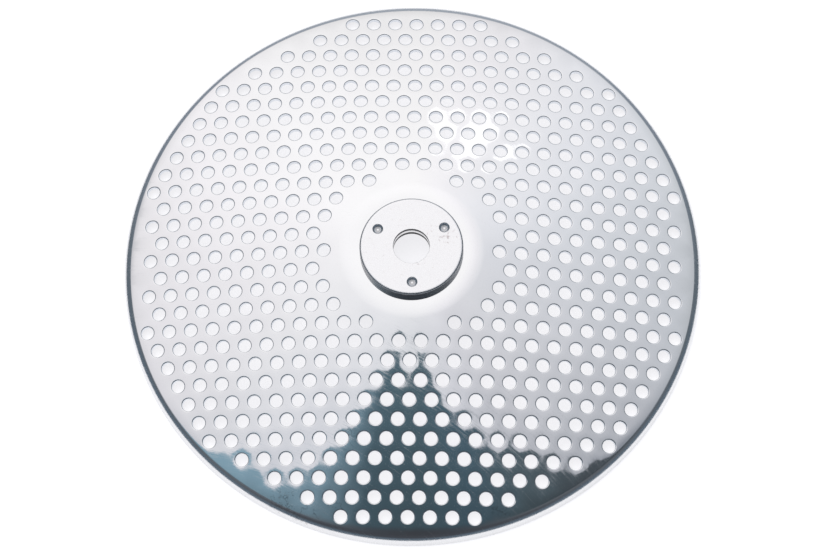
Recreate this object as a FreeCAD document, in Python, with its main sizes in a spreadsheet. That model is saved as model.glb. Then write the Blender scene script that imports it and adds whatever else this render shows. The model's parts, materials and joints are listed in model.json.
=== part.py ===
"""Sieve disc of a hand-cranked food mill.

One round of stainless sheet is punched with a field of round holes, pressed into a
shallow cone with a flat centre, and turned down at its rim. A thick washer is
projection-welded on the flat centre, and the crank's shaft turns in its bore.

Millimetres. The origin is on the disc's axis, level with the rim's lower edge, and the
cone rises towards +Z.
"""
import FreeCAD
import Part
import Sketcher
import math
import os

# The driving sizes: alias, value and what it measures
SIZES = [
    ("disc_diameter", 132.0, "over the turned-down rim"),
    ("disc_height", 14.0, "from the rim's lower edge to the top of the flat centre"),
    ("sheet_gauge", 1.0, "thickness of the stainless sheet"),
    ("rim_straight", 1.6, "straight part of the rim, below its bend"),
    ("rim_bend_radius", 2.0, "outer radius of the rim's bend"),
    ("seat_diameter", 26.0, "flat centre that the washer lies on"),
    ("knuckle_radius", 20.0, "upper radius of the bend around the flat centre"),
    ("hole_diameter", 3.0, "each hole of the sieve"),
    ("hole_pitch", 5.0, "between neighbouring holes, in staggered rows"),
    ("plain_ring", 4.5, "unpunched ring between the flat centre and the holes"),
    ("bore_diameter", 8.3, "for the crank's shaft, through washer and sheet"),
    ("washer_diameter", 23.5, "over the washer"),
    ("washer_thickness", 2.0, "of the washer"),
    ("washer_edge_radius", 0.7, "rounding of the washer's upper outer edge"),
    ("washer_foot_radius", 0.2, "rounding of the washer's lower outer edge"),
    ("bore_edge_radius", 0.3, "rounding of the bore's upper edge"),
    ("dimple_diameter", 2.3, "of each weld dimple, at the washer's top"),
    ("dimple_depth", 0.5, "of each weld dimple"),
    ("dimple_taper", 30.0, "lean of a dimple's side from the upright, in degrees"),
    ("dimple_circle", 17.4, "diameter of the circle that the dimples lie on"),
    ("dimple_bearing", 32.0, "direction of the first dimple from +X, in degrees"),
    ("dimple_count", 3, "weld dimples, evenly spaced"),
]

# The staggered rows look the same after each sixth of a turn
SIXTHS = 6

# How far a punch passes beyond each face of the sheet, in millimetres
PUNCH_OVERRUN = 1.0

START, END, CENTRE = 1, 2, 3
SKETCH_ORIGIN = -1
UPRIGHT = math.pi / 2
AXIS = FreeCAD.Vector(0, 0, 1)
SAME_SIZE = 1e-6


def make_sizes(doc):
    """Put the driving sizes in a spreadsheet, one alias each."""
    sizes = doc.addObject("Spreadsheet::Sheet", "Sizes")
    for row, (alias, value, note) in enumerate(SIZES, start=1):
        sizes.set("A%d" % row, note)
        sizes.set("B%d" % row, str(value))
        sizes.setAlias("B%d" % row, alias)
    doc.recompute()
    return sizes


def origin_feature(body, role):
    """One of a body's own origin planes or axes."""
    return next(item for item in body.Origin.OriginFeatures if item.Role == role)


def add_sketch(body, name, plane):
    """A sketch of a body, flat on one of the body's own origin planes."""
    sketch = body.newObject("Sketcher::SketchObject", name)
    sketch.AttachmentSupport = (origin_feature(body, plane), [""])
    sketch.MapMode = "FlatFace"
    return sketch


def bind(sketch, name, expression, kind, *where):
    """Add a dimension to a sketch, and tie it to the sizes by an expression."""
    sketch.addConstraint(Sketcher.Constraint(kind, *where))
    index = sketch.ConstraintCount - 1
    sketch.renameConstraint(index, name)
    sketch.setExpression("Constraints." + name, expression)


class Section:
    """Where the sheet's section bends: two bend centres, and the wall's square direction."""

    def __init__(self, sizes):
        self.knuckle = FreeCAD.Vector(sizes.seat_diameter / 2, sizes.disc_height - sizes.knuckle_radius, 0)
        self.bend = FreeCAD.Vector(sizes.disc_diameter / 2 - sizes.rim_bend_radius, sizes.rim_straight, 0)
        span = self.bend - self.knuckle
        to_bend = math.atan2(span.y, span.x)
        self.square = to_bend + math.acos((sizes.knuckle_radius - sizes.rim_bend_radius) / span.Length)
        self.slope = UPRIGHT - self.square


def on_circle(centre, radius, angle):
    """The point of a circle in the section at an angle from outwards, in radians."""
    return centre + FreeCAD.Vector(math.cos(angle), math.sin(angle), 0) * radius


def arc(centre, radius, start, end):
    """A counter-clockwise arc of the section."""
    return Part.ArcOfCircle(Part.Circle(centre, AXIS, radius), start, end)


def face_line(sizes, section, inset):
    """One face of the sheet from the bore outwards: seat, knuckle, wall, bend and rim."""
    level = sizes.disc_height - inset
    reach = sizes.disc_diameter / 2 - inset
    knuckle_radius = sizes.knuckle_radius - inset
    bend_radius = sizes.rim_bend_radius - inset
    return [
        Part.LineSegment(
            FreeCAD.Vector(sizes.bore_diameter / 2, level, 0),
            FreeCAD.Vector(sizes.seat_diameter / 2, level, 0)),
        arc(section.knuckle, knuckle_radius, section.square, UPRIGHT),
        Part.LineSegment(
            on_circle(section.knuckle, knuckle_radius, section.square),
            on_circle(section.bend, bend_radius, section.square)),
        arc(section.bend, bend_radius, 0, section.square),
        Part.LineSegment(
            FreeCAD.Vector(reach, sizes.rim_straight, 0),
            FreeCAD.Vector(reach, 0, 0)),
    ]


def draw_section(sketch, sizes, section):
    """Draw the sheet's closed section, with every size tied to the spreadsheet."""
    sketch.addGeometry(face_line(sizes, section, 0), False)
    sketch.addGeometry(face_line(sizes, section, sizes.sheet_gauge), False)
    upper = range(5)
    under = range(5, 10)
    edge, bore = 10, 11
    sketch.addGeometry([
        Part.LineSegment(
            FreeCAD.Vector(sizes.disc_diameter / 2, 0, 0),
            FreeCAD.Vector(sizes.disc_diameter / 2 - sizes.sheet_gauge, 0, 0)),
        Part.LineSegment(
            FreeCAD.Vector(sizes.bore_diameter / 2, sizes.disc_height - sizes.sheet_gauge, 0),
            FreeCAD.Vector(sizes.bore_diameter / 2, sizes.disc_height, 0)),
    ], False)
    for seat, knuckle, wall, bend, rim in (upper, under):
        sketch.addConstraint([
            Sketcher.Constraint("Horizontal", seat),
            Sketcher.Constraint("Vertical", rim),
            Sketcher.Constraint("Tangent", seat, END, knuckle, END),
            Sketcher.Constraint("Tangent", knuckle, START, wall, START),
            Sketcher.Constraint("Tangent", wall, END, bend, END),
            Sketcher.Constraint("Tangent", bend, START, rim, START),
        ])
    sketch.addConstraint([
        Sketcher.Constraint("Coincident", upper[1], CENTRE, under[1], CENTRE),
        Sketcher.Constraint("Coincident", upper[3], CENTRE, under[3], CENTRE),
        Sketcher.Constraint("Coincident", upper[4], END, edge, START),
        Sketcher.Constraint("Coincident", edge, END, under[4], END),
        Sketcher.Constraint("Coincident", under[0], START, bore, START),
        Sketcher.Constraint("Coincident", bore, END, upper[0], START),
        Sketcher.Constraint("Horizontal", edge),
        Sketcher.Constraint("Vertical", bore),
        Sketcher.Constraint("Equal", edge, bore),
        Sketcher.Constraint("PointOnObject", edge, START, SKETCH_ORIGIN),
    ])
    bind(sketch, "bore_radius", "Sizes.bore_diameter / 2",
         "DistanceX", SKETCH_ORIGIN, START, bore, END, sizes.bore_diameter / 2)
    bind(sketch, "seat_radius", "Sizes.seat_diameter / 2",
         "DistanceX", SKETCH_ORIGIN, START, upper[0], END, sizes.seat_diameter / 2)
    bind(sketch, "outer_radius", "Sizes.disc_diameter / 2",
         "DistanceX", SKETCH_ORIGIN, START, edge, START, sizes.disc_diameter / 2)
    bind(sketch, "height", "Sizes.disc_height",
         "DistanceY", SKETCH_ORIGIN, START, bore, END, sizes.disc_height)
    bind(sketch, "gauge", "Sizes.sheet_gauge", "DistanceX", edge, END, edge, START, sizes.sheet_gauge)
    bind(sketch, "straight", "Sizes.rim_straight",
         "DistanceY", upper[4], END, upper[4], START, sizes.rim_straight)
    bind(sketch, "knuckle", "Sizes.knuckle_radius", "Radius", upper[1], sizes.knuckle_radius)
    bind(sketch, "bend", "Sizes.rim_bend_radius", "Radius", upper[3], sizes.rim_bend_radius)


def make_blank_sixth(doc, sizes, section):
    """A sixth of the pressed sheet before its holes: the section turned about the axis."""
    body = doc.addObject("PartDesign::Body", "blank_sixth")
    sketch = add_sketch(body, "sheet_section", "XZ_Plane")
    draw_section(sketch, sizes, section)
    doc.recompute()
    turned = body.newObject("PartDesign::Revolution", "pressed_sheet")
    turned.Profile = sketch
    turned.ReferenceAxis = (sketch, ["V_Axis"])
    turned.Angle = 360 / SIXTHS
    doc.recompute()
    return body


def hole_places(sizes):
    """Plan positions of the holes: staggered rows between the plain ring and the rim's bend."""
    nearest = sizes.seat_diameter / 2 + sizes.plain_ring + sizes.hole_diameter / 2
    farthest = sizes.disc_diameter / 2 - sizes.rim_bend_radius - sizes.hole_diameter / 2
    row_step = sizes.hole_pitch * math.sqrt(3) / 2
    rows = int(farthest / row_step)
    columns = int(farthest / sizes.hole_pitch) + 1
    places = []
    for row in range(-rows, rows + 1):
        stagger = sizes.hole_pitch / 2 * (row % 2)
        for column in range(-columns, columns + 1):
            place = FreeCAD.Vector(column * sizes.hole_pitch + stagger, row * row_step, 0)
            if nearest <= place.Length <= farthest:
                places.append(place)
    return places


def make_punches(doc, sizes, section):
    """The punches of the holes, each square to the wall and long enough to pass through it."""
    length = sizes.sheet_gauge + 2 * PUNCH_OVERRUN
    wall_start = on_circle(section.knuckle, sizes.knuckle_radius - sizes.sheet_gauge / 2, section.square)
    punches = []
    for place in hole_places(sizes):
        outward = place / place.Length
        drop = (place.Length - wall_start.x) * math.tan(section.slope)
        middle = place + AXIS * (wall_start.y - drop)
        square = outward * math.sin(section.slope) + AXIS * math.cos(section.slope)
        foot = middle - square * (length / 2)
        punches.append(Part.makeCylinder(sizes.hole_diameter / 2, length, foot, square))
    feature = doc.addObject("Part::Feature", "punches")
    feature.Shape = Part.makeCompound(punches)
    return feature


def make_disc(doc, sizes):
    """The sheet: one sixth is punched, and six of them, turned around the axis, make the disc."""
    section = Section(sizes)
    punched = doc.addObject("Part::Cut", "punched_sixth")
    punched.Base = make_blank_sixth(doc, sizes, section)
    punched.Tool = make_punches(doc, sizes, section)
    doc.recompute()
    sixths = [punched]
    for step in range(1, SIXTHS):
        turned = doc.addObject("Part::Feature", "turned_sixth_%d" % step)
        turned.Shape = punched.Shape
        turned.Placement = FreeCAD.Placement(FreeCAD.Vector(), FreeCAD.Rotation(AXIS, 360 / SIXTHS * step))
        sixths.append(turned)
    disc = doc.addObject("Part::MultiFuse", "sieve_disc")
    disc.Label = "sieve_disc"
    disc.Shapes = sixths
    disc.Refine = True
    doc.recompute()
    return disc


def ring_edges(shape, radius, level):
    """Names of a shape's round edges with a radius, at a height."""
    names = []
    for number, edge in enumerate(shape.Edges, start=1):
        curve = edge.Curve
        if isinstance(curve, Part.Circle) and math.isclose(curve.Radius, radius, abs_tol=SAME_SIZE):
            if math.isclose(curve.Center.z, level, abs_tol=SAME_SIZE):
                names.append("Edge%d" % number)
    return names


def round_edge(doc, body, name, radius_alias, diameter, level):
    """Round one ring edge of a body by a radius from the sizes."""
    before = body.Tip
    fillet = body.newObject("PartDesign::Fillet", name)
    fillet.Base = (before, ring_edges(before.Shape, diameter / 2, level))
    fillet.setExpression("Radius", "Sizes." + radius_alias)
    doc.recompute()


def make_washer(doc, sizes):
    """The hub: a thick washer with rounded edges and three weld dimples, on the flat centre."""
    body = doc.addObject("PartDesign::Body", "hub_washer")
    body.Label = "hub_washer"
    ring = add_sketch(body, "washer_ring", "XY_Plane")
    for index, alias in enumerate(("washer_diameter", "bore_diameter")):
        radius = getattr(sizes, alias) / 2
        ring.addGeometry(Part.Circle(FreeCAD.Vector(), AXIS, radius), False)
        ring.addConstraint(Sketcher.Constraint("Coincident", index, CENTRE, SKETCH_ORIGIN, START))
        bind(ring, alias + "_half", "Sizes.%s / 2" % alias, "Radius", index, radius)
    doc.recompute()
    plate = body.newObject("PartDesign::Pad", "washer_plate")
    plate.Profile = ring
    plate.setExpression("Length", "Sizes.washer_thickness")
    doc.recompute()
    top = sizes.washer_thickness
    round_edge(doc, body, "washer_edge", "washer_edge_radius", sizes.washer_diameter, top)
    round_edge(doc, body, "washer_foot", "washer_foot_radius", sizes.washer_diameter, 0)
    round_edge(doc, body, "bore_edge", "bore_edge_radius", sizes.bore_diameter, top)
    press_dimples(doc, body, sizes)
    body.setExpression(".Placement.Base.z", "Sizes.disc_height")
    doc.recompute()
    return body


def press_dimples(doc, body, sizes):
    """Sink the round dimples that the weld projections left in the washer's top."""
    spot = add_sketch(body, "dimple_outline", "XY_Plane")
    spot.setExpression(".AttachmentOffset.Base.z", "Sizes.washer_thickness")
    bearing = math.radians(sizes.dimple_bearing)
    centre = FreeCAD.Vector(math.cos(bearing), math.sin(bearing), 0) * (sizes.dimple_circle / 2)
    spot.addGeometry(Part.Circle(centre, AXIS, sizes.dimple_diameter / 2), False)
    bind(spot, "across", "Sizes.dimple_circle / 2 * cos(Sizes.dimple_bearing)",
         "DistanceX", SKETCH_ORIGIN, START, 0, CENTRE, centre.x)
    bind(spot, "along", "Sizes.dimple_circle / 2 * sin(Sizes.dimple_bearing)",
         "DistanceY", SKETCH_ORIGIN, START, 0, CENTRE, centre.y)
    bind(spot, "half_width", "Sizes.dimple_diameter / 2", "Radius", 0, sizes.dimple_diameter / 2)
    doc.recompute()
    dimple = body.newObject("PartDesign::Pocket", "dimple")
    dimple.Profile = spot
    dimple.setExpression("Length", "Sizes.dimple_depth")
    dimple.setExpression("TaperAngle", "-Sizes.dimple_taper")
    doc.recompute()
    around = body.newObject("PartDesign::PolarPattern", "dimples")
    around.Originals = [dimple]
    around.Axis = (spot, ["N_Axis"])
    around.Angle = 360
    around.setExpression("Occurrences", "Sizes.dimple_count")
    body.Tip = around
    doc.recompute()


def check(doc, nodes):
    """Stop if an object of the document failed, or a node isn't one valid solid."""
    for item in doc.Objects:
        if "Invalid" in item.State or "Error" in item.State:
            raise RuntimeError("%s failed: %s" % (item.Name, item.State))
    for node in nodes:
        if node.Shape.isNull() or not node.Shape.isValid() or len(node.Shape.Solids) != 1:
            raise RuntimeError("%s is not one valid solid" % node.Label)


def main():
    doc = FreeCAD.newDocument("food_mill_sieve_disc")
    sizes = make_sizes(doc)
    nodes = [make_disc(doc, sizes), make_washer(doc, sizes)]
    check(doc, nodes)
    os.makedirs("parts", exist_ok=True)
    for node in nodes:
        node.Shape.exportStep("parts/%s.step" % node.Label)
        print("%s: %d faces, %.1f mm3" % (node.Label, len(node.Shape.Faces), node.Shape.Volume))
    print("%d holes" % len(hole_places(sizes)))


main()
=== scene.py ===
"""Looks of a food mill's sieve disc: the polished sieve sheet and the hub washer on it."""
import json
import math

import bpy
import numpy as np
from mathutils import Euler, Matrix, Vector
from mathutils.geometry import delaunay_2d_cdt


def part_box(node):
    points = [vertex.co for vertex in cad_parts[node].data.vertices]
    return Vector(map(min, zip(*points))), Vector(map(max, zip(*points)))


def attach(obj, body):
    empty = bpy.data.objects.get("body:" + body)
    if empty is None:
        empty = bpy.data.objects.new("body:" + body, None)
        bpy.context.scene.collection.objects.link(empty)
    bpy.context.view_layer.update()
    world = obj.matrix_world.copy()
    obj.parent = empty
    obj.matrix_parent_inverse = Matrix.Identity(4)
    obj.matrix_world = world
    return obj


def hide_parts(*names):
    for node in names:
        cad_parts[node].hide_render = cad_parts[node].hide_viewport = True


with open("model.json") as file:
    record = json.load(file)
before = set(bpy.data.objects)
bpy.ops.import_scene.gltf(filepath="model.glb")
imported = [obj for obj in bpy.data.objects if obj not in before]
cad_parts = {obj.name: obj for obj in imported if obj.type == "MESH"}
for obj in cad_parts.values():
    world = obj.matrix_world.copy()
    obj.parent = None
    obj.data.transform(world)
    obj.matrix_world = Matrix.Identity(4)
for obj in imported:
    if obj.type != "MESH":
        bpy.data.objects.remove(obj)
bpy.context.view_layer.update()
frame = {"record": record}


# The sieve sheet: one round of 1 mm stainless sheet, punched from its upper side, pressed
# into a shallow cone with a flat centre, turned down at its rim and polished. The frame
# gives its reach and height, and the press's own sizes are named here.

MM = 0.001
SHEET_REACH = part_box("sieve_disc")[1].x
SEAT_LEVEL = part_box("sieve_disc")[1].z
SHAFT_BORE = next(mount for mount in frame["record"]["mounts"] if mount["name"] == "shaft_bore")
BORE_RADIUS = SHAFT_BORE["dims"]["r_mm"] * MM
GAUGE = 1.0 * MM
SEAT_RADIUS = 13.0 * MM
KNUCKLE_RADIUS = 20.0 * MM
WALL_SLOPE_GAIN = 0.034
WAVE_HEIGHT = 0.006 * MM
SHOULDER_REACH = 1.6 * MM
SHOULDER_GAIN = 0.025
BEND_REACH = 1.55 * MM
BEND_DROP = 1.25 * MM
INNER_BEND_DROP = 0.35 * MM
RIM_STRAIGHT = 2.145 * MM
EDGE_BREAK = 0.12 * MM

# The holes: their staggered rows, and how the face leans into each one.
PITCH = 5.0 * MM
HOLE_RADIUS = 1.5 * MM
PLAIN_RING = 4.5 * MM
PLAIN_BORDER = 2.0 * MM
EDGE_TILT = math.radians(58)
EDGE_FADE = 0.11 * MM
DISH_TILT = math.radians(0.35)
DISH_FADE = 0.4 * MM
EDGE_RINGS = np.array([0.0, 0.07, 0.14, 0.26]) * MM

# The mesh: its sides around a hole and around the disc, and where its parts meet.
SIDE_STEPS = 3
HOLE_SIDES = 6 * SIDE_STEPS
TURN_SIDES = 240
INNER_JOIN = 16.6 * MM
CELL_MARGIN = 0.12 * MM
ROLL_MARGIN = 0.22 * MM
# The third finish is near black steel: painted shade in the bores and in the seam.
POLISHED, SHEARED, PAINTED_SHADE = 0, 1, 2


class Surface:
    """Vertices, faces and corner normals of one closed piece, gathered as arrays."""

    def __init__(self):
        self.points, self.faces, self.shades, self.finishes = [], [], [], []
        self.count = 0

    def put(self, points):
        """Add points of any array shape, and return their numbers in the same shape."""
        flat = points.reshape(-1, 3)
        ids = np.arange(self.count, self.count + len(flat)).reshape(points.shape[:-1])
        self.points.append(flat)
        self.count += len(flat)
        return ids

    def face(self, corners, shades, finish=0):
        """Add faces of three or four corners each, with a normal for each corner."""
        self.faces.append(corners)
        self.shades.append(shades)
        self.finishes.append(np.full(len(corners), finish))

    def skin(self, chain, finish=0):
        """Quads between the rings of a chain. A ring is (numbers, normals towards the ring
        before it, normals towards the ring after it), closed around its last axis."""
        for (ids, _, leave), (next_ids, arrive, _) in zip(chain, chain[1:]):
            corners = np.stack([ids, next_ids, np.roll(next_ids, -1, -1), np.roll(ids, -1, -1)], -1)
            shades = np.stack([leave, arrive, np.roll(arrive, -1, -2), np.roll(leave, -1, -2)], -2)
            self.face(corners.reshape(-1, 4), shades.reshape(-1, 4, 3), finish)

    def skins(self, chain, stretches):
        """Quads along a chain in several finishes, each given after the last ring it reaches."""
        first = 0
        for last, finish in stretches:
            self.skin(chain[first:last + 1], finish)
            first = last

    def build(self, name, materials):
        """Make the mesh object from the gathered arrays."""
        mesh = bpy.data.meshes.new(name)
        points = np.concatenate(self.points)
        sizes = np.concatenate([np.full(len(f), f.shape[1]) for f in self.faces])
        corners = np.concatenate([f.ravel() for f in self.faces])
        mesh.vertices.add(len(points))
        mesh.vertices.foreach_set("co", points.ravel())
        mesh.loops.add(len(corners))
        mesh.loops.foreach_set("vertex_index", corners)
        mesh.polygons.add(len(sizes))
        mesh.polygons.foreach_set("loop_start", np.cumsum(sizes) - sizes)
        mesh.polygons.foreach_set("material_index", np.concatenate(self.finishes))
        mesh.update(calc_edges=True)
        mesh.shade_smooth()
        mesh.normals_split_custom_set(np.concatenate([s.reshape(-1, 3) for s in self.shades]))
        for material in materials:
            mesh.materials.append(material)
        piece = bpy.data.objects.new(name, mesh)
        bpy.context.scene.collection.objects.link(piece)
        return piece


def unit(vectors):
    """Each vector divided by its own length."""
    return vectors / np.linalg.norm(vectors, axis=-1, keepdims=True)


def plan_ways(turns):
    """Directions (cos, sin) in plan for an array of turns."""
    return np.stack([np.cos(turns), np.sin(turns)], -1)


def even_circle(sides):
    """Directions in plan at even turns, once around the axis."""
    return plan_ways(np.arange(sides) * (2 * np.pi / sides))


def closed_loop(count, first):
    """The edges of a closed loop of points that are numbered on from the first."""
    return np.stack([np.arange(count), np.roll(np.arange(count), -1)], -1) + first


def arc_piece(centre, radius, start, end, steps):
    """A stretch of a turned section along an arc: points centre + radius * (cos, sin) at even
    angles, in degrees, and their normals, which face outwards when the angle falls."""
    way = plan_ways(np.radians(np.linspace(start, end, steps + 1)))
    return np.array(centre) + radius * way, way * np.sign(start - end)


def curve_piece(start, corner, end, steps):
    """A bent stretch of a turned section: the parabola that leaves the start towards the corner
    and reaches the end from it, with normals to its left."""
    share = np.linspace(0, 1, steps + 1)[:, None]
    leave, arrive = np.subtract(corner, start), np.subtract(end, corner)
    along = unit((1 - share) * leave + share * arrive)
    points = np.array(start) + 2 * share * leave + share ** 2 * (arrive - leave)
    return points, np.stack([-along[:, 1], along[:, 0]], -1)


def line_piece(start, end):
    """A straight stretch of a turned section: its two ends, with the normal to its left."""
    ends = np.array([start, end])
    along = unit(ends[1] - ends[0])
    return ends, np.array([[-along[1], along[0]]] * 2)


def turned(surface, pieces, sides, centre=(0.0, 0.0)):
    """A chain of rings from a section of (radius, height) stretches, turned about an upright
    axis: x = radius * cos(turn), y = radius * sin(turn), for even turns."""
    circle = even_circle(sides)

    def swing(pair):
        """One section point or normal, carried around the axis."""
        return np.concatenate([circle * pair[0], np.full((sides, 1), pair[1])], -1)

    first_point, first_normal = pieces[0][0][0], pieces[0][1][0]
    section = [(first_point, first_normal, first_normal)]
    for number, (points, normals) in enumerate(pieces):
        after = pieces[number + 1][1][0] if number + 1 < len(pieces) else normals[-1]
        inner = [(p, n, n) for p, n in zip(points[1:-1], normals[1:-1])]
        section += inner + [(points[-1], normals[-1], after)]
    offset = np.array([*centre, 0.0])
    return [(surface.put(swing(point) + offset), swing(arrive), swing(leave))
            for point, arrive, leave in section]


WALL_END = SHEET_REACH - BEND_REACH
CELL_LIMIT = WALL_END - CELL_MARGIN
ROLL_LIMIT = WALL_END - ROLL_MARGIN


def wall_slopes():
    """The wall's slope where the knuckle ends and where the rim's shoulder starts. The slope grows
    evenly outwards by WALL_SLOPE_GAIN, and its mean is the drop over the run between the two.
    Both depend a little on the mean, so it is worked out in a few rounds from a first guess."""
    mean, rounds = 0.2, 12
    for _ in range(rounds):
        upper, lower = math.atan(mean - WALL_SLOPE_GAIN / 2), math.atan(mean + WALL_SLOPE_GAIN / 2)
        run = WALL_END - SEAT_RADIUS - KNUCKLE_RADIUS * math.sin(upper)
        drop = (SEAT_LEVEL - KNUCKLE_RADIUS * (1 - math.cos(upper))
                - RIM_STRAIGHT - BEND_DROP - BEND_REACH * math.tan(lower))
        mean = drop / run
    return math.tan(upper), math.tan(lower)


SLOPE_UP, SLOPE_DOWN = wall_slopes()
RIM_SLOPE = SLOPE_DOWN + SHOULDER_GAIN
WALL_START = SEAT_RADIUS + KNUCKLE_RADIUS * math.sin(math.atan(SLOPE_UP))
WALL_TOP = SEAT_LEVEL - KNUCKLE_RADIUS * (1 - math.cos(math.atan(SLOPE_UP)))
WALL_FOOT = (WALL_TOP - (SLOPE_UP + SLOPE_DOWN) / 2 * (WALL_END - WALL_START)
             - SHOULDER_GAIN * SHOULDER_REACH / 2)
BEND_CORNER = WALL_FOOT - BEND_REACH * RIM_SLOPE


def press_waves(x, y):
    """The wall's slight waves from the press: three crossing sines over the plan, each given by
    its radians per metre along x and along y, its start and its share."""
    waves = ((210, 95, 0.6, 1.0), (-120, 190, 2.1, 1.0), (330, -160, 4.0, 0.7))
    return WAVE_HEIGHT * sum(
        share * np.sin(by_x * x + by_y * y + start) for by_x, by_y, start, share in waves)


def sheet_height(x, y):
    """Height of the sheet's upper face over the plan: flat seat, circular knuckle, a wall whose
    slope grows evenly and a little faster on the shoulder before the rim, and the rim's parabola,
    plus the press waves, which fade out at both ends of the wall."""
    r, knuckle_reach = np.hypot(x, y), KNUCKLE_RADIUS * 0.9
    knuckle_run = np.clip(r - SEAT_RADIUS, 0, knuckle_reach)
    knuckle = SEAT_LEVEL - KNUCKLE_RADIUS + np.sqrt(KNUCKLE_RADIUS ** 2 - knuckle_run ** 2)
    out, wall_run = r - WALL_START, WALL_END - WALL_START
    shoulder = np.clip(r - WALL_END + SHOULDER_REACH, 0, SHOULDER_REACH)
    wall = (WALL_TOP - SLOPE_UP * out - (SLOPE_DOWN - SLOPE_UP) * out ** 2 / (2 * wall_run)
            - SHOULDER_GAIN * shoulder ** 2 / (2 * SHOULDER_REACH))
    left = np.sqrt(np.clip((SHEET_REACH - r) / BEND_REACH, 0, 1))
    bend = BEND_CORNER + left ** 2 * BEND_REACH * RIM_SLOPE - (1 - left) ** 2 * BEND_DROP
    height = np.select([r < WALL_START, r < WALL_END], [knuckle, wall], bend)
    fade = np.sin(np.pi * np.clip(out / wall_run, 0, 1)) ** 2
    return height + press_waves(x, y) * fade


def sheet_point(x, y):
    """Points of the upper face over plan positions."""
    return np.stack([x, y, sheet_height(x, y)], -1)


def sheet_normal(x, y):
    """Normals of the upper face, from the height's differences over a hundredth of a millimetre."""
    step = 0.01 * MM
    along_x = (sheet_height(x + step, y) - sheet_height(x - step, y)) / (2 * step)
    along_y = (sheet_height(x, y + step) - sheet_height(x, y - step)) / (2 * step)
    return unit(np.stack([-along_x, -along_y, np.ones_like(x)], -1))


def hole_centres():
    """Plan positions of the holes: the points of the staggered rows that lie between the plain
    ring around the seat and the rim's bend."""
    nearest = SEAT_RADIUS + PLAIN_RING + HOLE_RADIUS
    farthest = SHEET_REACH - PLAIN_BORDER - HOLE_RADIUS
    row_step = PITCH * math.sqrt(3) / 2
    rows = int(farthest / row_step)
    columns = int(farthest / PITCH) + 1
    row, column = np.meshgrid(np.arange(-rows, rows + 1), np.arange(-columns, columns + 1))
    x = column * PITCH + PITCH / 2 * (row % 2)
    y = row * row_step
    keep = (np.hypot(x, y) >= nearest) & (np.hypot(x, y) <= farthest)
    return np.stack([x[keep], y[keep]], -1)


def cell_outline():
    """The six-sided cell around a hole, with even steps along its sides: side number s has the
    outward direction 60 * s degrees and lies half a pitch out."""
    side = np.radians(60.0 * np.arange(6))[:, None]
    step = (np.arange(SIDE_STEPS) * 2 / SIDE_STEPS - 1)[None, :] * PITCH / (2 * math.sqrt(3))
    x = np.cos(side) * PITCH / 2 - np.sin(side) * step
    y = np.sin(side) * PITCH / 2 + np.cos(side) * step
    return np.stack([x, y], -1).reshape(HOLE_SIDES, 2)


def held_in(plan, limit):
    """Plan positions drawn in to a circle where they lie outside it."""
    r = np.linalg.norm(plan, axis=-1, keepdims=True)
    return plan * np.minimum(1, limit / r)


def lean(distance):
    """The face's tilt towards a hole, at a distance from its wall: EDGE_TILT *
    exp(-(distance / EDGE_FADE) ** 2) for the edge that the punch rolled in, plus DISH_TILT *
    exp(-distance / DISH_FADE) for the shallow dish around it."""
    return EDGE_TILT * np.exp(-(distance / EDGE_FADE) ** 2) + DISH_TILT * np.exp(-distance / DISH_FADE)


def sunk(distance):
    """How deep the face lies at a distance from a hole's wall: the sum of the lean's slope from
    the cell's border up to there."""
    samples = np.linspace(0, PITCH / 2 - HOLE_RADIUS, num=200)
    depths = np.flip(np.cumsum(np.flip(np.tan(lean(samples))))) * samples[1]
    return np.interp(distance, samples, depths)


def punched_cells(surface, centres):
    """The sheet around each hole. Upwards from the lower face: the cell's outline, the sheared
    wall, the rings of the edge that the punch rolled in, and the outline on the upper face.
    Outline points that neighbouring cells share fall on one grid and become one vertex.
    Returns the outline's plan positions, the vertex numbers on both faces, and the cells."""
    outline = centres[:, None, :] + cell_outline()
    grid = outline / (PITCH / (4 * SIDE_STEPS)) * np.array([1, math.sqrt(3)])
    _, first, cells = np.unique(
        np.round(grid).astype(int).reshape(-1, 2), axis=0, return_index=True, return_inverse=True)
    cells = cells.reshape(outline.shape[:2])
    plan = held_in(outline.reshape(-1, 2)[first], CELL_LIMIT)
    top = sheet_point(plan[:, 0], plan[:, 1])
    up = sheet_normal(plan[:, 0], plan[:, 1])
    upper = surface.put(top)
    lower = surface.put(top - up * GAUGE)

    first_corner = -30
    turn = np.radians(first_corner + 360 / HOLE_SIDES * np.arange(HOLE_SIDES))
    way = np.stack([np.cos(turn), np.sin(turn), np.zeros(HOLE_SIDES)], -1)[None]
    axis = sheet_normal(centres[:, 0], centres[:, 1])[:, None, :]
    inward = -unit(way - axis * np.sum(way * axis, -1, keepdims=True))
    middle = sheet_point(centres[:, 0], centres[:, 1])[:, None, :]

    def ring(reach, depth):
        """A ring around each hole, at a reach from its axis and a depth below the face, and the
        face's own normals there."""
        at = held_in((middle - inward * reach)[..., :2], ROLL_LIMIT)
        return sheet_point(at[..., 0], at[..., 1]) - axis * depth, sheet_normal(at[..., 0], at[..., 1])

    wall_foot, under = ring(HOLE_RADIUS, GAUGE)
    foot = surface.put(wall_foot)
    rolled = []
    for distance in EDGE_RINGS:
        points, face_up = ring(HOLE_RADIUS + distance, sunk(distance))
        shade = face_up * np.cos(lean(distance)) + inward * np.sin(lean(distance))
        rolled.append((surface.put(points), shade, shade))
    surface.skin([(lower[cells], -up[cells], -up[cells]), (foot, -under, inward)])
    surface.skin([(foot, inward, inward), (rolled[0][0], inward, inward)], SHEARED)
    surface.skin([*rolled, (upper[cells], up[cells], up[cells])])
    return plan, upper, lower, cells


def cell_border(cells):
    """The edges of the field of cells: the outline steps that belong to one cell only."""
    ends = np.stack([cells, np.roll(cells, -1, -1)], -1).reshape(-1, 2)
    edges, counts = np.unique(np.sort(ends, -1), axis=0, return_counts=True)
    return edges[counts == 1]


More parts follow.
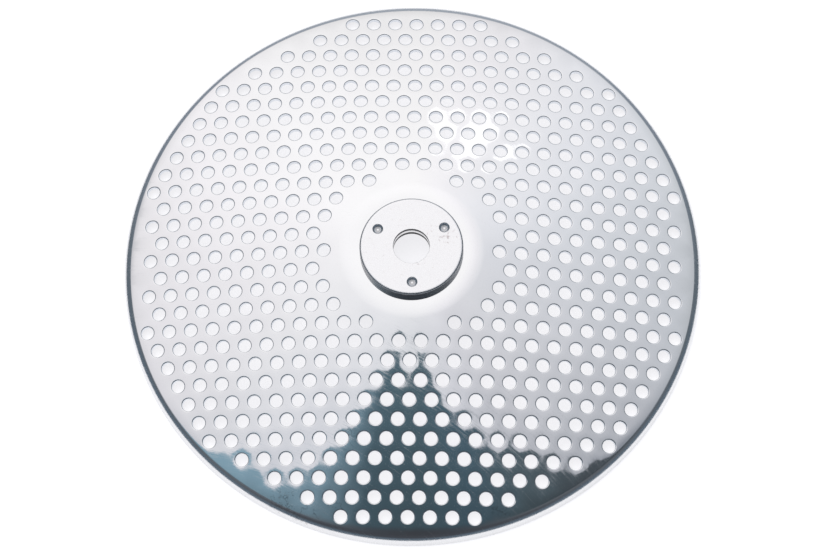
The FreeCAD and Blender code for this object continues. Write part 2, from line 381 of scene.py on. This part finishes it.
def filled(plan, edges, is_open):
    """Triangles, anticlockwise in plan, that fill the outlines given by edges between plan
    positions, without those whose middle lies in an opening."""
    whole_with_outlines, same_point = 0, 1e-7
    made = delaunay_2d_cdt(
        (plan / MM).tolist(), edges.tolist(), [], whole_with_outlines, same_point)
    source = np.array(made[3])[:, 0]
    triangles = source[np.array(made[2])]
    a, b, c = (plan[triangles[:, i]] for i in range(3))
    triangles = np.where((np.cross(b - a, c - a) > 0)[:, None], triangles, triangles[:, ::-1])
    return triangles[~is_open((a + b + c) / 3)]


def plain_strips(surface, centres, plan, upper, lower, cells, inner_chain, outer_chain):
    """The unpunched strips between the field of cells and the turned parts, as triangles on
    the upper face and the same triangles, turned over, on the lower face."""
    border = cell_border(cells)
    used = np.unique(border)
    circle = even_circle(TURN_SIDES)
    flat = np.concatenate([plan[used], circle * INNER_JOIN, circle * WALL_END])
    tops = np.concatenate([upper[used], inner_chain[-1][0], outer_chain[0][0]])
    bottoms = np.concatenate([lower[used], inner_chain[0][0], outer_chain[-1][0]])
    edges = np.concatenate([
        np.searchsorted(used, border), closed_loop(TURN_SIDES, len(used)),
        closed_loop(TURN_SIDES, len(used) + TURN_SIDES)])

    def is_open(spots):
        """Spots in a cell, no further than just over half a pitch from its middle along three
        directions, or within the inner join."""
        just_over_half = 0.5001
        sides = plan_ways(np.radians([0.0, 60.0, 120.0]))
        reach = (spots[:, None] - centres) @ sides.T
        in_cell = (np.abs(reach).max(-1) < PITCH * just_over_half).any(-1)
        r = np.linalg.norm(spots, axis=-1)
        return (in_cell & (r < CELL_LIMIT)) | (r < INNER_JOIN)

    triangles = filled(flat, edges, is_open)
    up = sheet_normal(flat[:, 0], flat[:, 1])
    surface.face(tops[triangles], up[triangles])
    turned_over = triangles[:, ::-1]
    surface.face(bottoms[turned_over], -up[turned_over])


def turned_centre(surface):
    """The turned centre: under the knuckle and the seat, up the bore, which is painted near
    black as shade, and out again over the seat and the knuckle."""
    knuckle_centre = (SEAT_RADIUS, SEAT_LEVEL - KNUCKLE_RADIUS)
    join_angle = math.degrees(math.acos((INNER_JOIN - SEAT_RADIUS) / KNUCKLE_RADIUS))
    under, edge = SEAT_LEVEL - GAUGE, BORE_RADIUS + EDGE_BREAK
    chain = turned(surface, [
        arc_piece(knuckle_centre, KNUCKLE_RADIUS - GAUGE, join_angle, 90, steps=3),
        line_piece((SEAT_RADIUS, under), (edge, under)),
        arc_piece((edge, under + EDGE_BREAK), EDGE_BREAK, 270, 180, steps=3),
        line_piece((BORE_RADIUS, under + EDGE_BREAK), (BORE_RADIUS, SEAT_LEVEL - EDGE_BREAK)),
        arc_piece((edge, SEAT_LEVEL - EDGE_BREAK), EDGE_BREAK, 180, 90, steps=3),
        line_piece((edge, SEAT_LEVEL), (SEAT_RADIUS, SEAT_LEVEL)),
        arc_piece(knuckle_centre, KNUCKLE_RADIUS, 90, join_angle, steps=3),
    ], TURN_SIDES)
    bore_foot, bore_top = 6, 11
    surface.skins(chain, [(bore_foot, POLISHED), (bore_top, PAINTED_SHADE), (len(chain), POLISHED)])
    return chain


def turned_rim(surface):
    """The turned rim: over the bend and down the straight, under its edge and up the inside."""
    inside = SHEET_REACH - GAUGE
    tilt = math.atan(RIM_SLOPE)
    under_wall = (WALL_END - GAUGE * math.sin(tilt), WALL_FOOT - GAUGE * math.cos(tilt))
    inner_corner = under_wall[1] - (inside - under_wall[0]) * RIM_SLOPE
    inner_foot = (inside, inner_corner - INNER_BEND_DROP)
    bend_foot = (SHEET_REACH, BEND_CORNER - BEND_DROP)
    chain = turned(surface, [
        curve_piece((WALL_END, WALL_FOOT), (SHEET_REACH, BEND_CORNER), bend_foot, steps=12),
        line_piece(bend_foot, (SHEET_REACH, EDGE_BREAK)),
        arc_piece((SHEET_REACH - EDGE_BREAK, EDGE_BREAK), EDGE_BREAK, 0, -90, steps=3),
        line_piece((SHEET_REACH - EDGE_BREAK, 0), (inside + EDGE_BREAK, 0)),
        arc_piece((inside + EDGE_BREAK, EDGE_BREAK), EDGE_BREAK, -90, -180, steps=3),
        line_piece((inside, EDGE_BREAK), inner_foot),
        curve_piece(inner_foot, (inside, inner_corner), under_wall, steps=8),
    ], TURN_SIDES)
    surface.skin(chain)
    return chain


def make_sheet(materials):
    """The whole sheet: turned centre and rim, punched cells, and plain strips between them."""
    surface = Surface()
    centre_chain = turned_centre(surface)
    rim_chain = turned_rim(surface)
    centres = hole_centres()
    plan, upper, lower, cells = punched_cells(surface, centres)
    plain_strips(surface, centres, plan, upper, lower, cells, centre_chain, rim_chain)
    return surface.build("sieve_sheet", materials)


def new_material(name):
    """A material with its node tree and its shader."""
    material = bpy.data.materials.new(name)
    material.use_nodes = True
    tree = material.node_tree
    return material, tree, tree.nodes["Principled BSDF"]


def node(tree, kind, inputs=(), **settings):
    """Add a node, set its properties, and set or link its inputs by name or number."""
    made = tree.nodes.new(kind)
    for key, value in settings.items():
        setattr(made, key, value)
    for key, value in dict(inputs).items():
        if isinstance(value, bpy.types.NodeSocket):
            tree.links.new(value, made.inputs[key])
        else:
            made.inputs[key].default_value = value
    return made


def new_steel(name):
    """A bare steel with its node tree, its shader and its piece's own coordinates."""
    material, tree, shader = new_material(name)
    shader.inputs["Metallic"].default_value = 1.0
    return material, tree, shader, node(tree, "ShaderNodeTexCoord").outputs["Object"]


def maths(tree, operation, *values, clamp=False):
    """The result of a sum, product or other step on up to three numbers."""
    made = node(tree, "ShaderNodeMath", enumerate(values), operation=operation, use_clamp=clamp)
    return made.outputs[0]


def vector_maths(tree, operation, *values):
    """The result of a step on vectors, which is a number for a length or a distance."""
    made = node(tree, "ShaderNodeVectorMath", enumerate(values), operation=operation)
    return made.outputs["Value" if operation in ("LENGTH", "DISTANCE") else "Vector"]


def noise(tree, place, scale, detail, roughness=0.5):
    """A cloudy noise over a place, around 0.5."""
    made = node(tree, "ShaderNodeTexNoise", {
        "Vector": place, "Scale": scale, "Detail": detail, "Roughness": roughness})
    return made.outputs["Fac"]


def ramp(tree, factor, stops):
    """A colour ramp over (position, grey or colour) stops."""
    made = node(tree, "ShaderNodeValToRGB", {0: factor})
    elements = made.color_ramp.elements
    while len(elements) < len(stops):
        elements.new(0.5)
    for element, (position, colour) in zip(elements, stops):
        element.position = position
        shade = (colour,) * 3 if isinstance(colour, (int, float)) else colour
        element.color = (*shade, 1)
    return made.outputs["Color"]


def blend(tree, factor, first, second):
    """A mix of two colours, the first where the factor is 0 and the second where it is 1."""
    first_inlet, second_inlet, outlet = 6, 7, 2
    colours = [c if isinstance(c, bpy.types.NodeSocket) else (*c, 1) for c in (first, second)]
    made = node(tree, "ShaderNodeMix", {
        "Factor": factor, first_inlet: colours[0], second_inlet: colours[1]}, data_type="RGBA")
    return made.outputs[outlet]


def relief(tree, shader, height, strength):
    """Let a pattern raise a shader's surface, by up to 0.05 mm times the strength."""
    bump = node(tree, "ShaderNodeBump", {
        "Height": height, "Strength": strength, "Distance": 0.05 * MM})
    tree.links.new(bump.outputs[0], shader.inputs["Normal"])


BRUSH_CENTRE = (-70.0 * MM, -150.0 * MM, 0.0)
BRUSH_STRETCH = (1.0, 0.003, 1.0)
BEND_HAZE = 0.24
SCUFF_BROWN = (0.12, 0.1, 0.09)
SCUFF_REACH = 3.8 * MM
SCUFF_SPOTS = np.array([
    (-28, -57, 4), (-23, -60, 4), (-15.5, -56.5, 4), (-13.5, -43, 6), (21, -57, 4)]) * MM


def polished_sheet():
    """Polished stainless: a near mirror. Its haze follows brush lines, which run as arcs about a
    point beside the disc: a noise over the distance from that point and the turn about it, drawn
    out along the turn. The rim's bend is duller, from 64.3 to 65.5 mm off the axis. Fine dark
    scuffs lie at a few spots of the near side: level lines of a noise, that fade with distance."""
    material, tree, shader, place = new_steel("polished_sheet_steel")
    offset = vector_maths(tree, "SUBTRACT", place, BRUSH_CENTRE)
    parts = node(tree, "ShaderNodeSeparateXYZ", {0: offset}).outputs
    turn = maths(tree, "ARCTAN2", parts["Y"], parts["X"])
    away = vector_maths(tree, "LENGTH", offset)
    lines_at = node(tree, "ShaderNodeCombineXYZ", {"X": away, "Y": turn}).outputs[0]
    lines_at = vector_maths(tree, "MULTIPLY", lines_at, BRUSH_STRETCH)
    lines = noise(tree, lines_at, scale=4200.0, detail=3.0, roughness=0.7)
    haze = ramp(tree, lines, [(0.38, 0.012), (0.5, 0.035), (0.6, 0.07), (0.68, 0.13)])
    in_decimetres = vector_maths(tree, "MULTIPLY", place, (10.0, 10.0, 0.0))
    off_axis = vector_maths(tree, "LENGTH", in_decimetres)
    on_bend = ramp(tree, off_axis, [(0.643, 0.0), (0.655, 1.0)])
    haze = maths(tree, "MULTIPLY_ADD", on_bend, BEND_HAZE, haze)
    tree.links.new(haze, shader.inputs["Roughness"])
    tone = ramp(tree, noise(tree, place, scale=90.0, detail=4.0), [(0.3, 0.79), (0.7, 0.815)])
    crack = noise(tree, place, scale=260.0, detail=6.0, roughness=0.65)
    crack = ramp(tree, crack, [(0.488, 0.0), (0.5, 1.0), (0.512, 0.0)])
    close = 0.0
    for spot in SCUFF_SPOTS:
        away = vector_maths(tree, "DISTANCE", place, spot)
        close = maths(tree, "MAXIMUM", maths(tree, "MULTIPLY_ADD", away, -1 / SCUFF_REACH, 1.0), close)
    scuffs = maths(tree, "MULTIPLY", crack, ramp(tree, close, [(0.0, 0.0), (0.5, 0.75)]))
    tree.links.new(blend(tree, scuffs, tone, SCUFF_BROWN), shader.inputs["Base Color"])
    relief(tree, shader, lines, strength=0.01)
    return material


def sheared_wall():
    """The punched holes' walls: bare sheared steel, rougher and a little bluer than the faces."""
    material, tree, shader, place = new_steel("sheared_hole_wall")
    streaks = noise(tree, place, scale=2500.0, detail=2.0)
    tone = ramp(tree, streaks, [(0.3, (0.77, 0.8, 0.84)), (0.7, (0.84, 0.87, 0.915))])
    tree.links.new(tone, shader.inputs["Base Color"])
    shader.inputs["Roughness"].default_value = 0.28
    return material


def painted_shade_bore():
    """Rough torn steel in both bores and in the seam between them. Its near black colour is
    painted shade: the shade deep in the bores and in the seam."""
    material, tree, shader, place = new_steel("painted_shade_bore_steel")
    streaks = noise(tree, place, scale=1800.0, detail=3.0)
    tone = ramp(tree, streaks, [(0.3, (0.006, 0.007, 0.008)), (0.7, (0.02, 0.021, 0.023))])
    tree.links.new(tone, shader.inputs["Base Color"])
    shader.inputs["Roughness"].default_value = 0.4
    return material


# Near black steel: painted shade for the bores and for the seam under the washer.
painted_shade_steel = painted_shade_bore()
sheet = make_sheet([polished_sheet(), sheared_wall(), painted_shade_steel])
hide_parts("sieve_disc")
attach(sheet, "root")


# The hub washer: a thick stamped stainless washer with tumbled edges, projection-welded on
# the flat centre. Three round dimples in its top are the marks of its weld projections.

WASHER_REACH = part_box("hub_washer")[1].x
WASHER_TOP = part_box("hub_washer")[1].z
WASHER_EDGE = 0.7 * MM
EDGE_DROP = 0.32 * MM
EDGE_LEAN = 0.06 * MM
WASHER_FOOT = 0.1 * MM
BORE_EDGE = 0.05 * MM
TORN_BORE = 0.85 * MM
DIMPLE_CIRCLE = 8.7 * MM
DIMPLE_BEARINGS = np.radians([32.0, 152.0, 272.0])
DIMPLE_RADIUS = 1.15 * MM
DIMPLE_DEPTH = 0.5 * MM
DIMPLE_FLOOR = 0.65 * MM
DIMPLE_BOWL = 3.2 * MM
DIMPLE_FAN_ANGLE = 4
DIMPLE_FOOT = (0.13 * MM, 0.09 * MM)
DIMPLE_LIP = 0.1 * MM
DIMPLE_LIP_ANGLE = 20
DIMPLE_SIDES = 36
SATIN, DULL = 0, 1


def turned_sides(surface):
    """The washer's turned outside and inside: the rounded upper edge, the side, the foot, the
    smooth lower bore, the torn upper bore and the bore's edge, with the seam and the torn upper
    bore painted near black as shade."""
    outer, inner, edge = WASHER_REACH - WASHER_EDGE, BORE_RADIUS + BORE_EDGE, BORE_RADIUS + EDGE_BREAK
    edge_foot = (WASHER_REACH, WASHER_TOP - EDGE_DROP)
    foot_level = SEAT_LEVEL + WASHER_FOOT
    torn_from, torn_to = WASHER_TOP - BORE_EDGE - TORN_BORE, WASHER_TOP - BORE_EDGE
    chain = turned(surface, [
        curve_piece((outer, WASHER_TOP), (WASHER_REACH - EDGE_LEAN, WASHER_TOP), edge_foot, steps=7),
        line_piece(edge_foot, (WASHER_REACH, foot_level)),
        arc_piece((WASHER_REACH - WASHER_FOOT, foot_level), WASHER_FOOT, 0, -90, steps=4),
        line_piece((WASHER_REACH - WASHER_FOOT, SEAT_LEVEL), (edge, SEAT_LEVEL)),
        arc_piece((edge, SEAT_LEVEL + EDGE_BREAK), EDGE_BREAK, 270, 180, steps=3),
        line_piece((BORE_RADIUS, SEAT_LEVEL + EDGE_BREAK), (BORE_RADIUS, torn_from)),
        line_piece((BORE_RADIUS, torn_from), (BORE_RADIUS, torn_to)),
        arc_piece((inner, torn_to), BORE_EDGE, 180, 90, steps=5),
    ], TURN_SIDES)
    edge_end, seam, smooth_foot, torn_foot, torn_top = 3, 14, 16, 17, 18
    surface.skins(chain, [
        (edge_end, SATIN), (seam, DULL), (smooth_foot, PAINTED_SHADE), (torn_foot, SATIN),
        (torn_top, PAINTED_SHADE), (len(chain), DULL)])
    return chain


def dimple(surface, spot):
    """One weld dimple, turned about its own axis: a fan of triangles at the floor's middle, the
    bowl-shaped floor, the bent side and the rounded lip. Returns the lip's vertex numbers."""
    floor_level = WASHER_TOP - DIMPLE_DEPTH
    floor_angle = math.asin(DIMPLE_FLOOR / DIMPLE_BOWL)
    floor_end = (DIMPLE_FLOOR, floor_level + DIMPLE_BOWL * (1 - math.cos(floor_angle)))
    lip = (DIMPLE_RADIUS + DIMPLE_LIP, WASHER_TOP - DIMPLE_LIP)
    lip_way = math.radians(DIMPLE_LIP_ANGLE)
    lip_foot = (lip[0] - DIMPLE_LIP * math.cos(lip_way), lip[1] + DIMPLE_LIP * math.sin(lip_way))
    corner = (lip_foot[0] - DIMPLE_FOOT[0], floor_end[1] + DIMPLE_FOOT[1])
    chain = turned(surface, [
        arc_piece((0.0, floor_level + DIMPLE_BOWL), DIMPLE_BOWL,
                  DIMPLE_FAN_ANGLE - 90, math.degrees(floor_angle) - 90, steps=3),
        curve_piece(floor_end, corner, lip_foot, steps=4),
        arc_piece(lip, DIMPLE_LIP, 180 - DIMPLE_LIP_ANGLE, 90, steps=3),
    ], DIMPLE_SIDES, spot)
    floor_rim = 3
    surface.skins(chain, [(floor_rim, DULL), (len(chain), SATIN)])
    pole = surface.put(np.array([[*spot, floor_level]]))
    first, _, leave = chain[0]
    fan = np.stack([np.full(DIMPLE_SIDES, pole[0]), first, np.roll(first, -1)], -1)
    upright = np.tile([0.0, 0.0, 1.0], (DIMPLE_SIDES, 1))
    surface.face(fan, np.stack([upright, leave, np.roll(leave, -1, 0)], 1))
    return chain[-1][0]


def make_washer(materials):
    """The washer: turned sides and bore, three dimples, and a flat top between them."""
    surface = Surface()
    side_chain = turned_sides(surface)
    spots = DIMPLE_CIRCLE * plan_ways(DIMPLE_BEARINGS)
    rings = [side_chain[0][0], side_chain[-1][0]] + [dimple(surface, spot) for spot in spots]
    ids = np.concatenate(rings)
    flat = np.concatenate(surface.points)[ids][:, :2]
    sizes = [len(ring) for ring in rings]
    starts = np.cumsum(sizes) - sizes
    edges = np.concatenate([closed_loop(size, start) for size, start in zip(sizes, starts)])

    def is_open(middles):
        """Middles over the bore or over a dimple."""
        to_dimple = np.linalg.norm(middles[:, None] - spots, axis=-1).min(-1)
        in_bore = np.linalg.norm(middles, axis=-1) < BORE_RADIUS + BORE_EDGE
        return (to_dimple < DIMPLE_RADIUS + DIMPLE_LIP) | in_bore

    triangles = filled(flat, edges, is_open)
    surface.face(ids[triangles], np.tile([0.0, 0.0, 1.0], (len(triangles), 3, 1)))
    return surface.build("hub_washer_piece", materials)


SMUDGE_MIDDLE = (7.9 * MM, 2.6 * MM, WASHER_TOP)
SMUDGE_REACH = 4.0 * MM
CLOUD_SHARE = 0.35


def washer_steel():
    """Satin stainless: pale, with a fine even grain and, beside one dimple and here and there, a
    faint brown smudge: the peaks of two noises and of the nearness to the smudge's middle."""
    material, tree, shader, place = new_steel("satin_washer_steel")
    grain = noise(tree, place, scale=3200.0, detail=3.0)
    cloud = noise(tree, place, scale=420.0, detail=4.0)
    specks = noise(tree, place, scale=1500.0, detail=2.0)
    away = vector_maths(tree, "DISTANCE", place, SMUDGE_MIDDLE)
    away = maths(tree, "MULTIPLY", away, 1 / SMUDGE_REACH)
    near = ramp(tree, away, [(0.0, 0.2), (0.35, 0.1), (1.0, 0.0)])
    spread = maths(tree, "MULTIPLY_ADD", cloud, CLOUD_SHARE, maths(tree, "ADD", specks, near))
    tone = ramp(tree, spread, [
        (0.7, (0.85, 0.845, 0.845)), (0.86, (0.83, 0.82, 0.82)), (0.97, (0.7, 0.67, 0.67)),
        (1.0, (0.56, 0.52, 0.52))])
    tree.links.new(tone, shader.inputs["Base Color"])
    tree.links.new(ramp(tree, grain, [(0.3, 0.25), (0.7, 0.28)]), shader.inputs["Roughness"])
    relief(tree, shader, grain, strength=0.015)
    return material


def washer_side_steel():
    """The washer's side, foot and bore edge, and its dimples' floors: greyer and rougher than the
    top, with faint drag lines, a noise that is drawn out upwards."""
    material, tree, shader, place = new_steel("smooth_washer_side")
    drawn_out = vector_maths(tree, "MULTIPLY", place, (1.0, 1.0, 0.08))
    drag = noise(tree, drawn_out, scale=2400.0, detail=2.0)
    tree.links.new(ramp(tree, drag, [(0.3, 0.3), (0.7, 0.38)]), shader.inputs["Roughness"])
    tree.links.new(ramp(tree, drag, [(0.3, 0.5), (0.7, 0.56)]), shader.inputs["Base Color"])
    return material


washer = make_washer([washer_steel(), washer_side_steel(), painted_shade_steel])
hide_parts("hub_washer")
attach(washer, "root")


# The floor: a wide pale table top, level with the rim's foot. It takes the disc's shadow,
# and a part of its light is its own, for what the camera and the metal see of it.

def make_floor():
    """A flat square table top, worked out from its half width. Its own light is seen by the
    camera, and in mirrors and glass by rays that haven't met a dull surface."""
    half_width, own_light = 4.0, 0.83
    mesh = bpy.data.meshes.new("floor")
    corners = half_width * np.array([[-1, -1, 0], [1, -1, 0], [1, 1, 0], [-1, 1, 0]], float)
    mesh.from_pydata(corners.tolist(), [], [(0, 1, 2, 3)])
    material, tree, shader = new_material("pale_table")
    shader.inputs["Base Color"].default_value = (0.34, 0.34, 0.345, 1)
    shader.inputs["Roughness"].default_value = 0.9
    shader.inputs["Specular IOR Level"].default_value = 0.0
    path = node(tree, "ShaderNodeLightPath").outputs
    seen = maths(tree, "ADD", path["Is Glossy Ray"], path["Is Transmission Ray"])
    seen = maths(tree, "SUBTRACT", seen, path["Diffuse Depth"], clamp=True)
    seen = maths(tree, "ADD", seen, path["Is Camera Ray"])
    glow = maths(tree, "MULTIPLY", seen, own_light)
    shader.inputs["Emission Color"].default_value = (0.975, 0.97, 1, 1)
    tree.links.new(glow, shader.inputs["Emission Strength"])
    mesh.materials.append(material)
    floor = bpy.data.objects.new("floor", mesh)
    bpy.context.scene.collection.objects.link(floor)
    return floor


make_floor()


# The studio: a broad pale ceiling light over and behind the disc, dimmer to the right, with a
# dark room around it that is paler at the back, and a dark teal screen on the near side.
# In a direction (x, y, z), right is x / z and back is y / z, as on a flat ceiling overhead.

def step(tree, value, start, end):
    """A smooth step from 0 at the start to 1 at the end, which falls where the start is higher."""
    made = node(tree, "ShaderNodeMapRange", {
        "Value": value, "From Min": start, "From Max": end}, interpolation_type="SMOOTHSTEP")
    return made.outputs["Result"]


def overlap(tree, *shares):
    """The product of several shares: 1 only where all of them are 1."""
    product = shares[0]
    for share in shares[1:]:
        product = maths(tree, "MULTIPLY", product, share)
    return product


def scaled(tree, colour, scale):
    """A colour times a number."""
    return node(tree, "ShaderNodeVectorMath", {0: colour, "Scale": scale}, operation="SCALE").outputs[0]


def open_ceiling(tree, right, across, depth):
    """The ceiling's light: light(across) * (1 - near_loss(across) * near_share(depth)) *
    far_share(depth). To the right of the screen the near share reaches a little deeper."""
    screen_end, deeper = 0.27, -0.2
    light = ramp(tree, across, [
        (0.13, (0.72, 0.71, 0.74)), (0.18, (0.9, 0.885, 0.915)), (0.23, (1.03, 1.01, 1.045)),
        (0.3, (1.11, 1.1, 1.12)), (0.4, (1.13, 1.12, 1.14)), (0.5, (1.13, 1.12, 1.135)),
        (0.55, (1.09, 1.075, 1.11)), (0.6, (1.02, 1.01, 1.05)), (0.65, (0.965, 0.97, 1.015)),
        (0.7, (0.89, 0.905, 0.96)), (0.75, (0.76, 0.79, 0.845)), (0.78, (0.69, 0.72, 0.765)),
        (0.82, (0.53, 0.56, 0.6))])
    near_loss = ramp(tree, across, [
        (0.25, (0.6, 0.58, 0.53)), (0.35, (0.37, 0.35, 0.31)), (0.45, (0.28, 0.26, 0.23)),
        (0.55, (0.35, 0.33, 0.3)), (0.6, (0.46, 0.44, 0.41)), (0.64, (0.55, 0.53, 0.5)),
        (0.7, (0.7, 0.68, 0.65))])
    past_screen = maths(tree, "MAXIMUM", maths(tree, "SUBTRACT", right, screen_end), 0.0)
    near_share = ramp(tree, maths(tree, "MULTIPLY_ADD", past_screen, deeper, depth), [
        (0.235, 1.0), (0.26, 0.68), (0.315, 0.38), (0.385, 0.22), (0.46, 0.12), (0.535, 0.03),
        (0.6, 0.0)])
    far_share = ramp(tree, depth, [
        (0.62, 1.0), (0.69, 0.98), (0.76, 0.955), (0.8, 0.92), (0.85, 0.86), (0.9, 0.78),
        (0.95, 0.7)])
    kept = vector_maths(tree, "SUBTRACT", (1.0, 1.0, 1.0), scaled(tree, near_loss, near_share))
    return vector_maths(tree, "MULTIPLY", light, scaled(tree, kept, far_share))


def bright_panes(tree, right, back):
    """The share of three bright panes in a row that is turned by about 32 degrees: along and over
    are right and back turned by it, a ramp along the row gives the panes and the bars between
    them, and each pane reaches from one near edge over to its own far edge."""
    turn_cos, turn_sin, near_edge, softness = 0.846, 0.533, 0.905, 0.002
    along = maths(tree, "ADD", maths(tree, "MULTIPLY_ADD", right, turn_cos, 1.0),
                  maths(tree, "MULTIPLY", back, -turn_sin))
    over = maths(tree, "ADD", maths(tree, "MULTIPLY", right, turn_sin),
                 maths(tree, "MULTIPLY", back, turn_cos))
    row = ramp(tree, along, [
        (0.45, 0.0), (0.46, 1.0), (0.555, 1.0), (0.565, 0.1), (0.595, 0.1), (0.602, 1.0),
        (0.685, 1.0), (0.695, 0.1), (0.742, 0.1), (0.75, 1.0), (0.812, 1.0), (0.82, 0.0)])
    far_edge = ramp(tree, along, [
        (0.44, 0.922), (0.55, 0.938), (0.59, 0.952), (0.62, 0.958), (0.68, 0.958), (0.72, 0.935),
        (0.82, 0.915)])
    past_far_edge = maths(tree, "SUBTRACT", over, far_edge)
    return overlap(tree, row, step(tree, over, near_edge, near_edge + 2 * softness),
                   step(tree, past_far_edge, softness, -softness))


def teal_screen(tree, across, depth):
    """The near screen's colour from left to right, darker towards its foot."""
    tone = ramp(tree, across, [
        (0.35, (0.245, 0.385, 0.48)), (0.4, (0.24, 0.37, 0.46)), (0.45, (0.09, 0.15, 0.19)),
        (0.5, (0.088, 0.145, 0.18)), (0.55, (0.085, 0.145, 0.19)), (0.6, (0.092, 0.13, 0.155)),
        (0.66, (0.07, 0.085, 0.1))])
    return scaled(tree, tone, ramp(tree, depth, [(0.175, 0.55), (0.2, 0.67), (0.222, 0.9), (0.24, 1.0)]))


def dark_room(tree, parts, back, screen):
    """What stands around the ceiling: a dark ring by bearing, paler at the back; a dim blue low on
    the near side; a near black patch high on the near side; and the screen above that patch."""
    low_blue, near_black, least_reach = (0.115, 0.155, 0.2), (0.058, 0.064, 0.078), 0.001
    height = parts["Z"]
    squares = [maths(tree, "MULTIPLY", parts[side], parts[side]) for side in ("X", "Y")]
    reach = maths(tree, "SQRT", maths(tree, "ADD", *squares))
    bearing = maths(tree, "DIVIDE", parts["Y"], maths(tree, "MAXIMUM", reach, least_reach))
    bearing = maths(tree, "MULTIPLY_ADD", bearing, 0.5, 0.5)
    room = ramp(tree, bearing, [
        (0.0, (0.05, 0.055, 0.065)), (0.07, (0.06, 0.07, 0.085)), (0.25, (0.12, 0.135, 0.155)),
        (0.5, (0.105, 0.125, 0.148)), (0.75, (0.125, 0.155, 0.185)), (0.93, (0.24, 0.28, 0.34)),
        (1.0, (0.38, 0.42, 0.48))])
    low_near = overlap(tree, step(tree, height, 0.8, 0.5), step(tree, bearing, 0.75, 0.5))
    under_screen = overlap(tree, step(tree, back, -0.34, -0.39), step(tree, height, 0.75, 0.9))
    on_screen = overlap(tree, step(tree, back, -0.17, -0.12), step(tree, height, 0.8, 0.9))
    room = blend(tree, low_near, room, low_blue)
    room = blend(tree, under_screen, room, near_black)
    return blend(tree, on_screen, room, screen)


def ceiling_window(tree, right, back, height):
    """Where the ceiling shows: between its left, right and far ends, above the horizon, and past
    its front edge, which lies at a back of 0.012 less a tenth of the outline that the top of the
    screen cuts into it. Each end is given by where it starts to show and where it shows fully."""
    left_end, right_end, far_end = (-0.76, -0.62), (0.68, 0.62), (1.55, 1.4)
    horizon, front = (0.02, 0.05), (-0.002, 0.002)
    cut = ramp(tree, maths(tree, "ADD", right, 0.5), [
        (0.12, 0.0), (0.15, 0.05), (0.175, 0.3), (0.2, 0.5), (0.24, 0.68), (0.28, 0.74),
        (0.31, 0.72), (0.335, 0.58), (0.36, 0.47), (0.39, 0.41), (0.435, 0.34), (0.46, 0.52),
        (0.49, 0.54), (0.51, 0.39), (0.54, 0.43), (0.57, 0.64), (0.67, 0.64), (0.69, 0.46),
        (0.75, 0.4), (0.8, 0.25), (0.87, 0.1)])
    past_front = maths(tree, "SUBTRACT", back, maths(tree, "MULTIPLY_ADD", cut, -0.1, 0.012))
    return overlap(tree, step(tree, past_front, *front), step(tree, right, *left_end),
                   step(tree, right, *right_end), step(tree, back, *far_end),
                   step(tree, height, *horizon))


def make_surroundings():
    """Light by direction: the ceiling with its panes where its window lies, the dark room
    elsewhere, and plain white for the camera itself. Across and depth are right and back,
    halved and moved into a ramp's reach from 0 to 1. The ramps' levels and the outlines of the
    panes and the screen were worked out from readings of what the disc mirrors in the
    photograph, direction by direction, and then changed from render to render."""
    world = bpy.data.worlds.new("studio")
    bpy.context.scene.world = world
    world.use_nodes = True
    tree = world.node_tree
    least_height = 0.02
    way = node(tree, "ShaderNodeTexCoord").outputs["Generated"]
    parts = node(tree, "ShaderNodeSeparateXYZ", {0: way}).outputs
    up = maths(tree, "MAXIMUM", parts["Z"], least_height)
    right = maths(tree, "DIVIDE", parts["X"], up)
    back = maths(tree, "DIVIDE", parts["Y"], up)
    across = maths(tree, "MULTIPLY_ADD", right, 0.5, 0.5)
    depth = maths(tree, "MULTIPLY_ADD", back, 0.5, 0.25)
    pane_white, camera_white, strength = (1.4, 1.4, 1.42), (1.0, 1.0, 1.0), 1.07
    ceiling = open_ceiling(tree, right, across, depth)
    ceiling = blend(tree, bright_panes(tree, right, back), ceiling, pane_white)
    room = dark_room(tree, parts, back, teal_screen(tree, across, depth))
    sky = blend(tree, ceiling_window(tree, right, back, parts["Z"]), room, ceiling)
    seen = node(tree, "ShaderNodeLightPath").outputs["Is Camera Ray"]
    sky = blend(tree, seen, sky, camera_white)
    background = tree.nodes["Background"]
    tree.links.new(sky, background.inputs["Color"])
    background.inputs["Strength"].default_value = strength


def soft_lamp(name, place, size, power):
    """A square area lamp that faces the disc and doesn't mirror in it."""
    light = bpy.data.lights.new(name, "AREA")
    light.size = size
    light.energy = power
    lamp = bpy.data.objects.new(name, light)
    lamp.location = place
    lamp.rotation_mode = "QUATERNION"
    lamp.rotation_quaternion = Vector(place).to_track_quat("Z", "Y")
    lamp.visible_glossy = False
    bpy.context.scene.collection.objects.link(lamp)


make_surroundings()
soft_lamp("overhead_lamp", place=(-0.15, -0.1, 1.5), size=1.0, power=14.0)


# The camera: a long lens above the table, at the photograph's viewing angle. Its place, turn
# and lens were worked out from where the hole rows lie in the photograph.

def make_camera():
    """A camera at its place, in metres, turned about X, Y and Z, in degrees."""
    place, turn = (0.01907, -0.34118, 0.85927), (21.592, 0.829, 0.958)
    view = bpy.data.cameras.new("view")
    view.lens = 173.9
    view.sensor_width = 36.0
    camera = bpy.data.objects.new("view", view)
    camera.location = place
    camera.rotation_euler = Euler([math.radians(angle) for angle in turn])
    bpy.context.scene.collection.objects.link(camera)
    bpy.context.scene.camera = camera


make_camera()
bpy.context.scene.view_settings.view_transform = "Standard"
